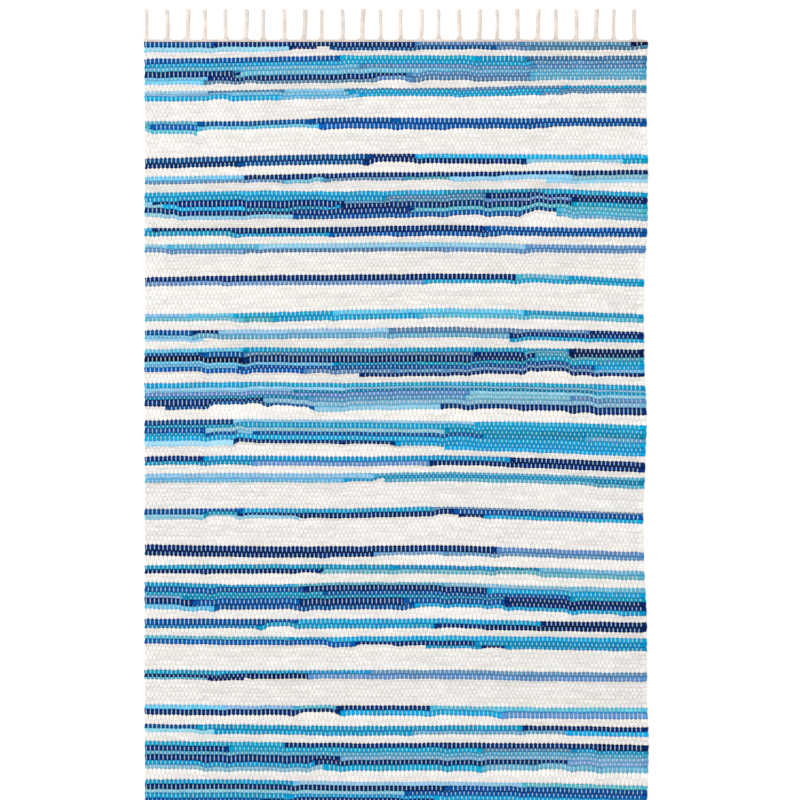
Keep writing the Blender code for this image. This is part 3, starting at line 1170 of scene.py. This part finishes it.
@dataclass
class RugBack:
    """The underside and the two selvedge sides of the cloth, in one sheet.

    Attributes:
        weave: Where the picks run.
        columns: Columns of faces across the underside.
        dip: How far the underside rises between two picks.
        tuck: How far in from the selvedge the underside starts to rest.
    """

    weave: Weave
    columns: int = 30
    dip: float = 0.0009
    tuck: float = 0.0018

    def build(self, points: np.ndarray, dye: np.ndarray, material: bpy.types.Material) -> object:
        """Build the sheet.

        Args:
            points: The upper face's points, whose rim this sheet meets.
            dye: The colour of each pick between every two columns of those points.
            material: The rags' finish.

        Returns:
            The piece.
        """
        pitches = np.linspace(self.weave.pitches, 0, self.columns + 1)
        below = self.underside(points, pitches)
        right = self.side(points[:, -1], -1.0)
        left = self.side(points[:, 0], 1.0)[:, ::-1]
        body = np.concatenate([right, below[:, 1:-1], left], axis=1)
        whole = np.concatenate([self.end_wall(body[0]), body, self.end_wall(body[-1])])
        mesh = grid_mesh("rug_back", whole)
        at = self.pitches_across(whole.shape[1], pitches)
        self.store_finish(mesh, at, dye)
        set_bake_map(mesh, bake_map(whole.shape[0] - 1, whole.shape[1] - 1))
        return add_piece("rug_back", mesh, material)

    def underside(self, points: np.ndarray, pitches: np.ndarray) -> np.ndarray:
        """The underside's points, from the right selvedge to the left one."""
        rows = len(points)
        below = np.empty((rows, len(pitches), 3))
        for row in range(rows):
            for axis in (0, 1):
                below[row, :, axis] = np.interp(pitches, self.weave.across, points[row, :, axis])
        below[:, :, 2] = np.where(np.arange(rows) % 3 == 0, self.dip, 0.0)[:, None]
        return below

    def side(self, rim: np.ndarray, inward: float) -> np.ndarray:
        """A selvedge's points, from the rim of the upper face down to the floor."""
        steps = ((0.0, 1.0), (0.15, 0.45), (1.0, 0.0))
        columns = []
        for share, height in steps:
            column = rim.copy()
            column[:, 0] += inward * share * self.tuck
            column[:, 2] = rim[:, 2] * height
            columns.append(column)
        return np.stack(columns, axis=1)

    def end_wall(self, last: np.ndarray) -> np.ndarray:
        """One more row straight above the sheet's first or last one."""
        wall = last.copy()
        wall[3:-3, 2] = self.weave.valley
        return wall[None]

    def pitches_across(self, count: int, pitches: np.ndarray) -> np.ndarray:
        """Each column's place across, in pitches of warp."""
        sides = (count - len(pitches) + 2) // 2
        full = np.concatenate(
            [np.full(sides, pitches[0]), pitches[1:-1], np.full(sides, pitches[-1])]
        )
        return full

    def store_finish(self, mesh: bpy.types.Mesh, at: np.ndarray, dye: np.ndarray) -> None:
        """Store the colours and the weave's places on the sheet.

        Args:
            mesh: The sheet.
            at: Each column's place across, in pitches of warp.
            dye: The colour of each pick between every two columns of the upper face.
        """
        weave = self.weave
        rows = 3 * weave.picks
        row = np.clip(np.arange(rows + 2) - 1, 0, rows - 1)
        number = row // 3
        middle = (at[1:] + at[:-1]) / 2
        column = np.clip(np.searchsorted(weave.across, middle) - 1, 0, dye.shape[1] - 1)
        colour = np.ones((rows + 2, len(middle), 4, 4))
        colour[..., :3] = dye[number][:, column][:, :, None, :]
        shares = np.array([*weave.row_shares, 1.0])
        by_row = np.array([[shares[one % 3], shares[one % 3 + 1]] for one in row])
        values = corner_values(by_row, at)
        lay = np.empty((*values.shape[:3], 3))
        lay[..., 0] = values[..., 0] + 0.5 * ((number + 1) % 2)[:, None, None]
        lay[..., 1] = values[..., 1]
        lay[..., 2] = number[:, None, None]
        shown = 1.0 - np.stack([np.interp(at, weave.across, line) for line in weave.covered])
        opened = np.empty((rows + 2, len(middle), 4, 1))
        for corner, right in enumerate((0, 0, 1, 1)):
            opened[:, :, corner, 0] = shown[number][:, right : right + len(middle)]
        set_attribute(mesh, "dye", colour)
        set_attribute(mesh, "lay", lay)
        set_attribute(mesh, "open", opened)


@dataclass(frozen=True)
class Tube:
    """A bent round length of yarn.

    Attributes:
        path: Its middle line, point by point.
        widths: Its half width at each point.
        heights: Its half height at each point.
        sides: How many sides it has.
        number: Its number among the yarns, for its shade.
    """

    path: np.ndarray
    widths: np.ndarray
    heights: np.ndarray
    sides: int
    number: float

    def rings(self) -> np.ndarray:
        """The points round each point of the middle line."""
        forward = np.gradient(self.path, axis=0)
        forward /= np.linalg.norm(forward, axis=1, keepdims=True)
        aside = np.cross(forward, (0.0, 0.0, 1.0))
        aside /= np.linalg.norm(aside, axis=1, keepdims=True)
        above = np.cross(aside, forward)
        turns = math.tau * np.arange(self.sides) / self.sides
        wide = self.widths[:, None, None] * np.cos(turns)[None, :, None] * aside[:, None, :]
        high = self.heights[:, None, None] * np.sin(turns)[None, :, None] * above[:, None, :]
        return self.path[:, None, :] + wide + high


def yarn_mesh(name: str, tubes: Sequence[Tube]) -> bpy.types.Mesh:
    """Join closed tubes into one smooth mesh that says how far along each yarn a place is.

    Args:
        name: The mesh's name.
        tubes: The yarns.

    Returns:
        The mesh, with the attribute "yarn": metres along, turns round, and the number.
    """
    points: list[np.ndarray] = []
    faces: list[tuple[int, ...]] = []
    yarn: list[tuple[float, float, float]] = []
    first = 0
    for tube in tubes:
        rings = tube.rings()
        count, sides = rings.shape[:2]
        steps = np.linalg.norm(np.diff(tube.path, axis=0), axis=1)
        along = np.concatenate([[0.0], np.cumsum(steps)])
        points.append(rings.reshape(-1, 3))
        for ring in range(count - 1):
            for side in range(sides):
                near = first + ring * sides
                far = near + sides
                following = (side + 1) % sides
                faces.append((near + side, near + following, far + following, far + side))
                start, end = side / sides, (side + 1) / sides
                yarn += [
                    (along[ring], start, tube.number),
                    (along[ring], end, tube.number),
                    (along[ring + 1], end, tube.number),
                    (along[ring + 1], start, tube.number),
                ]
        root = tuple(first + side for side in reversed(range(sides)))
        tip = tuple(first + (count - 1) * sides + side for side in range(sides))
        faces += [root, tip]
        yarn += [(0.0, 0.0, tube.number)] * sides + [(along[-1], 0.0, tube.number)] * sides
        first += count * sides
    mesh = bpy.data.meshes.new(name)
    mesh.from_pydata(np.concatenate(points).tolist(), [], faces)
    mesh.shade_smooth()
    set_attribute(mesh, "yarn", np.array(yarn))
    return mesh


@dataclass
class Heading:
    """The narrow ecru band of twined warp yarn that holds the weft at one end.

    Attributes:
        weave: The cloth that it holds.
        depth: How much of the rug's length it takes.
        valley: Height of the dips between its cords. It is not used.
        crest: Height of its cords.
        bead: How much a cord's height goes up and down over the warp.
    """

    weave: Weave
    depth: float
    valley: float = 0.0040
    crest: float = 0.0053
    bead: float = 0.00045

    def build(self, name: str, half_turn: bool, material: bpy.types.Material) -> object:
        """Build the heading of one end.

        Args:
            name: The piece's name.
            half_turn: True for the near end.
            material: The yarn's finish.

        Returns:
            The piece.
        """
        points = self.points()
        if half_turn:
            points[..., :2] *= -1
        mesh = grid_mesh(name, points)
        rows, columns = points.shape[0] - 1, points.shape[1] - 1
        shares = np.array([0.0, 0.3, 0.7, 1.0])
        by_row = np.array([[shares[row % 3], shares[row % 3 + 1]] for row in range(rows)])
        values = corner_values(by_row, points[0, :, 0])
        numbers = np.broadcast_to(np.arange(rows)[:, None, None] // 3, values.shape[:3])
        set_attribute(mesh, "yarn", np.concatenate([values, 0.37 * numbers[..., None]], axis=-1))
        set_bake_map(mesh, bake_map(rows, columns))
        return add_piece(name, mesh, material)

    def points(self) -> np.ndarray:
        """Its points in rows from the outer edge to the cloth, the underside last."""
        across = self.weave.across
        x = (across / self.weave.pitches - 0.5) * (self.weave.width - 0.0008)
        profile = (
            (1.00, 0.05, 0.0),
            (1.00, 0.72, 0.3),
            (0.86, 1.00, 1.0),
            (0.62, 0.96, 1.0),
            (0.50, 0.74, 0.0),
            (0.38, 0.96, -1.0),
            (0.14, 1.00, -1.0),
            (-0.02, 0.80, 0.0),
            (-0.02, 0.05, 0.0),
        )
        rng = np.random.default_rng(5)
        waver = natural(rng, (len(profile), len(across)), (1, 12)) * 0.00016
        grid = np.empty((len(profile) + 1, len(across), 3))
        for row, (out, high, phase) in enumerate(profile):
            beads = np.cos(math.tau * 2 * across + (0.0 if phase > 0 else math.pi))
            y = self.weave.length / 2 + self.depth * out
            grid[row, :, 0] = x
            grid[row, :, 1] = y + (waver[row] if 0 < row < len(profile) - 2 else 0.0)
            grid[row, :, 2] = self.crest * high + self.bead * beads * abs(phase)
        grid[-1] = grid[0]
        return grid


class TasselKind(Enum):
    """The three gatherings of warp that the weaver repeats along an end.

    Each has its place in the group of three, its girth, the width of warp that its foot
    gathers, how far it leans by its tip, and its share of the full length, which is not used.
    """

    SLIM = (0.0000, 0.0070, 0.0120, 0.0000, 0.97)
    EVEN = (0.0378, 0.0076, 0.0155, -0.0010, 1.00)
    FULL = (0.0732, 0.0084, 0.0145, 0.0024, 0.98)

    def __init__(self, offset: float, girth: float, foot: float, lean: float, share: float) -> None:
        """Name the sizes."""
        self.offset = offset
        self.girth = girth
        self.foot = foot
        self.lean = lean
        self.share = share


@dataclass
class Fringe:
    """The twisted tassels of warp ends along one end of the rug.

    Attributes:
        root: Where the tassels leave the heading, in metres along from the middle.
        length: The length of the longest one.
        count: How many there are.
        first: Where the first one is across the rug.
        group_pitch: The distance from one group of three to the next.
        strands: Yarns twisted into each tassel.
        turns: How often they go round each other.
    """

    root: float
    length: float
    count: int = 26
    first: float = -0.4525
    group_pitch: float = 0.1061
    strands: int = 6
    turns: float = 2.6
    sides: int = 6
    rings: int = 17
    seed: int = 8

    def build(self, name: str, half_turn: bool, material: bpy.types.Material) -> object:
        """Build the tassels of one end.

        Args:
            name: The piece's name.
            half_turn: True for the near end.
            material: The yarn's finish.

        Returns:
            The piece.
        """
        rng = np.random.default_rng(self.seed + half_turn)
        kinds = list(TasselKind)
        tubes: list[Tube] = []
        for number in range(self.count):
            group, member = divmod(number, len(kinds))
            kind = kinds[member]
            x = self.first + group * self.group_pitch + kind.offset
            tubes += self.tassel(x, kind, rng)
        mesh = yarn_mesh(name, tubes)
        if half_turn:
            mesh.transform(((-1, 0, 0, 0), (0, -1, 0, 0), (0, 0, 1, 0), (0, 0, 0, 1)))
        return add_piece(name, mesh, material)

    def tassel(self, x: float, kind: TasselKind, rng: np.random.Generator) -> list[Tube]:
        """Twist one tassel.

        Args:
            x: Its place across the rug.
            kind: Which gathering it is.
            rng: The seeded source of chance.

        Returns:
            Its strands.
        """
        share = np.linspace(0, 1, self.rings) ** 1.15
        girth = kind.girth * rng.uniform(0.94, 1.06)
        start = rng.uniform(0, math.tau)
        bend = rng.uniform(-0.0010, 0.0010)
        middle = x + kind.lean * share + bend * np.sin(math.pi * share)
        gathered = np.clip(share / 0.16, 0, 1) ** 0.8
        swell = 0.30 * girth * (1 + 0.22 * np.clip((share - 0.75) / 0.25, 0, 1))
        order = rng.permutation(self.strands)
        tubes = []
        for strand in range(self.strands):
            turn = start + math.tau * (strand / self.strands + self.turns * share)
            spread = (order[strand] / (self.strands - 1) - 0.5) * kind.foot * 0.86
            fray = rng.normal(scale=0.0005) * np.clip((share - 0.85) / 0.15, 0, 1)
            thick = girth * 0.21 * (1 + 0.06 * np.sin(9 * share + strand))
            thick[-1] *= 0.55
            flat = 0.78
            aside = spread * (1 - gathered) + swell * np.cos(turn) * gathered
            rest = thick * flat + swell * flat + swell * flat * np.sin(turn) * gathered
            height = rest * gathered + 0.0024 * (1 - gathered)
            reach = self.length * rng.uniform(0.975, 1.0)
            along = self.root - 0.0012 + reach * share
            path = np.stack([middle + aside + fray, along, height], axis=1)
            tubes.append(Tube(path, thick, thick * flat, self.sides, float(strand) * 0.37))
        return tubes


@dataclass
class RagEnds:
    """The tufts where a rag's torn end stands out of the cloth.

    Attributes:
        weave: The cloth that they stand on.
    """

    weave: Weave
    seed: int = 3

    def build(self, name: str, points: np.ndarray, material: bpy.types.Material) -> object:
        """Build all the tufts in one piece.

        Args:
            name: The piece's name.
            points: The upper face's points.
            material: The rags' finish.

        Returns:
            The piece.
        """
        rng = np.random.default_rng(self.seed)
        tubes: list[Tube] = []
        dyes: list[np.ndarray] = []
        for number, runs in enumerate(self.weave.runs):
            for before, run in zip(runs, runs[1:]):
                if run.tuft:
                    tubes.append(self.tuft(number, run, points, rng))
                    dyes.append(self.weave.dyed(self.tuft_dye(before, run)))
        mesh = yarn_mesh(name, tubes)
        self.store_finish(mesh, tubes, dyes)
        return add_piece(name, mesh, material)

    def tuft_dye(self, before: Run, after: Run) -> Dye:
        """The darker rag of the two that meet."""
        return min(before.dye, after.dye, key=lambda dye: sum(dye.value))

    def tuft(self, number: int, run: Run, points: np.ndarray, rng: np.random.Generator) -> Tube:
        """Lay one folded rag end on the cloth.

        Args:
            number: The pick that it stands out of.
            run: The rag that starts there.
            points: The upper face's points.
            rng: The seeded source of chance.

        Returns:
            Its squashed tube.
        """
        column = int(np.searchsorted(self.weave.across, run.start * self.weave.pitches))
        place = points[3 * number + 1, column]
        share = np.linspace(0, 1, 8)
        length = rng.uniform(0.0085, 0.0120)
        heading = rng.uniform(0.15, 0.75)
        x = place[0] + length * (share - 0.35) * math.cos(heading)
        y = place[1] + length * (share - 0.35) * math.sin(heading) - 0.002
        z = place[2] - 0.0004 + 0.0016 * np.sin(math.pi * share * 0.8)
        width = 0.0026 * np.array([0.5, 0.85, 1.0, 1.05, 1.1, 1.15, 1.1, 0.7])
        thick = 0.0012 * np.array([0.6, 0.9, 1.0, 1.0, 0.9, 1.0, 0.8, 0.5])
        return Tube(np.stack([x, y, z], axis=1), width, thick, 9, float(number))

    def store_finish(
        self, mesh: bpy.types.Mesh, tubes: Sequence[Tube], dyes: Sequence[np.ndarray]
    ) -> None:
        """Store each tuft's colour, and that no warp shows on it.

        Args:
            mesh: The tufts.
            tubes: Their tubes in order.
            dyes: The linear colour of each.
        """
        colours = []
        for tube, dye in zip(tubes, dyes):
            corners = (len(tube.path) - 1) * tube.sides * 4 + 2 * tube.sides
            colours.append(np.tile([*dye, 1.0], (corners, 1)))
        yarn = np.empty(len(mesh.loops) * 3, np.float32)
        mesh.attributes["yarn"].data.foreach_get("vector", yarn)
        lay = yarn.reshape(-1, 3) * (120.0, 1.0, 1.0)
        set_attribute(mesh, "dye", np.concatenate(colours))
        set_attribute(mesh, "lay", lay)
        set_attribute(mesh, "open", np.zeros((len(lay), 1)))


@dataclass(frozen=True)
class Studio:
    """A plain white floor, soft light and a camera straight above the rug.

    Attributes:
        eye: Where the camera is.
        lens: Its focal length in millimetres.
        floor_size: The floor's side.
        sky: How bright the even light from all round is.
        lamp_power: The soft lamp's power in watts.
    """

    eye: tuple[float, float, float] = (0.008, 0.108, 4.04)
    lens: float = 100.0
    floor_size: float = 40.0
    sky: float = 1.08
    lamp_power: float = 84.0

    def build(self) -> None:
        """Set up the floor, the light and the camera."""
        self.lay_floor()
        self.hang_lamp()
        self.fill_with_light()
        self.place_camera()
        bpy.context.scene.view_settings.view_transform = "Standard"

    def lay_floor(self) -> None:
        """Lay the floor under the rug."""
        half = self.floor_size / 2
        corners = [(-half, -half, 0), (half, -half, 0), (half, half, 0), (-half, half, 0)]
        mesh = bpy.data.meshes.new("studio_floor")
        mesh.from_pydata(corners, [], [(0, 1, 2, 3)])
        recipe = Recipe("studio_floor_paint")
        place = recipe.node("TexCoord").outputs["Object"]
        cloud = recipe.noise(place, 1.5, 2.0)
        colour = recipe.mixed(cloud, (0.93, 0.93, 0.93, 1.0), (0.95, 0.95, 0.95, 1.0))
        recipe.feed(recipe.shader.inputs["Base Color"], colour)
        recipe.shader.inputs["Roughness"].default_value = 0.9
        recipe.shader.inputs["Emission Color"].default_value = (1.0, 1.0, 1.0, 1.0)
        recipe.shader.inputs["Emission Strength"].default_value = 0.10
        add_piece("studio_floor", mesh, recipe.material)

    def hang_lamp(self) -> None:
        """Hang one wide lamp over the far left."""
        light = bpy.data.lights.new("soft_lamp", "AREA")
        light.energy = self.lamp_power
        light.size = 2.6
        lamp = bpy.data.objects.new("soft_lamp", light)
        lamp.location = (-1.9, 2.2, 3.6)
        lamp.rotation_euler = (math.radians(-31), math.radians(-27), 0.0)
        bpy.context.scene.collection.objects.link(lamp)

    def fill_with_light(self) -> None:
        """Light the room evenly from all round."""
        world = bpy.data.worlds.new("studio")
        world.use_nodes = True
        background = world.node_tree.nodes["Background"]
        background.inputs["Color"].default_value = (1.0, 1.0, 1.0, 1.0)
        background.inputs["Strength"].default_value = self.sky
        bpy.context.scene.world = world

    def place_camera(self) -> None:
        """Put the camera straight above the rug, looking down."""
        data = bpy.data.cameras.new("camera")
        data.lens = self.lens
        camera = bpy.data.objects.new("camera", data)
        camera.location = self.eye
        bpy.context.scene.collection.objects.link(camera)
        bpy.context.scene.camera = camera


def report(pieces: Sequence[bpy.types.Object]) -> None:
    """Log each piece with its number of faces."""
    for piece in pieces:
        LOG.info("%s: %d faces", piece.name, len(piece.data.polygons))


def main() -> None:
    """Build and dress the rug."""
    logging.basicConfig(level=logging.INFO, format="%(name)s %(message)s")
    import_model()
    low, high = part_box("rug_cloth")
    far_low, far_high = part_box("fringe_far")
    weave = Weave(width=0.914, length=1.5168)
    warp = EcruCotton(display=(236, 232, 230))
    rags = RagCotton(warp=warp, tick_width=weave.tick_share())
    rag_finish = rags.material("dyed_rag_cotton")
    yarn_finish = EcruCotton(display=(226, 214, 204)).material()

    face = WovenFace(weave)
    lengths = face.build(rag_finish)
    back = RugBack(weave).build(face.points, face.dye[::3, :, :3], rag_finish)
    ends = RagEnds(weave).build("rag_ends", face.points, rag_finish)
    heading = Heading(weave, depth=0.0048)
    root = weave.length / 2 + heading.depth
    fringe = Fringe(root=root, length=far_high.y - root)
    headings = [
        heading.build("heading_far", False, yarn_finish),
        heading.build("heading_near", True, yarn_finish),
    ]
    tassels = [
        fringe.build("tassels_far", False, yarn_finish),
        fringe.build("tassels_near", True, yarn_finish),
    ]
    cloth_pieces = [back, *lengths, ends]
    for piece in (*cloth_pieces, *headings, *tassels):
        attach(piece, "root")
    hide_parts("rug_cloth")
    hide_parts("fringe_far")
    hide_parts("fringe_near")
    Studio().build()
    report([*cloth_pieces, *headings, *tassels])


if __name__ == "__main__":
    main()
